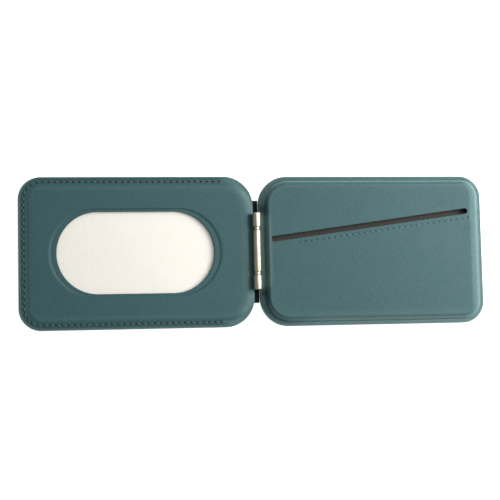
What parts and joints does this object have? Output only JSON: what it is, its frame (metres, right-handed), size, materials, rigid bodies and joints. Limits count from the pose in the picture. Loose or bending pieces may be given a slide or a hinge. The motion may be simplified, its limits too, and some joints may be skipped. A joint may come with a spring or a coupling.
{
  "type": "bifold card holder",
  "caption": "Leather-covered bifold card holder: an oval-window panel and a moulded panel with a slanted card slot, joined by a metal barrel hinge.",
  "frame": {"origin": "centre of the footprint of the opened holder, on the surface it lies on, directly below the hinge axis", "axes": "+X along the opened length, from the window panel to the slot panel; +Y along the hinge barrel; +Z out of the two faces"},
  "size_m": [0.2026, 0.065, 0.0071],
  "materials": {
    "face_leather": "smooth fine-grained teal leather",
    "back_leather": "smooth fine-grained teal leather",
    "thread": "twisted dark teal thread",
    "cream_inlay": "matt cream",
    "clear_film": "clear gloss",
    "board": "matt moulded board",
    "lining": "dark brown pocket lining",
    "spine_strip": "matt blue-black",
    "champagne_metal": "satin champagne plating",
    "magnet": "nickel plated",
    "steel": "plain steel"
  },
  "bodies": {
    "window_panel": {"window_face": "face_leather", "window_back_cover": "back_leather", "window_board": "board", "window_frame": "board", "window_film": "clear_film", "window_inlay": "cream_inlay", "window_thread": "thread", "window_hinge_leaf": "champagne_metal", "window_leaf_rivet_upper": "steel", "window_leaf_rivet_lower": "steel", "window_magnet_upper": "magnet", "window_magnet_lower": "magnet", "spine_strip": "spine_strip"},
    "slot_panel": {"slot_face": "face_leather", "slot_back_cover": "back_leather", "slot_board": "board", "slot_lip_strip": "lining", "slot_lining_front": "lining", "slot_lining_back": "lining", "slot_thread": "thread", "slot_hinge_leaf": "champagne_metal", "slot_leaf_rivet_upper": "steel", "slot_leaf_rivet_lower": "steel", "slot_magnet_upper": "magnet", "slot_magnet_lower": "magnet", "hinge_pin": "champagne_metal", "hinge_washer_upper": "champagne_metal", "hinge_washer_lower": "champagne_metal"}
  },
  "joints": [
    {"name": "fold", "type": "hinge", "parent": "window_panel", "child": "slot_panel", "pos_m": [0, 0, 0.0053], "axis": [0, -1, 0], "range_deg": [0, 180]}
  ]
}
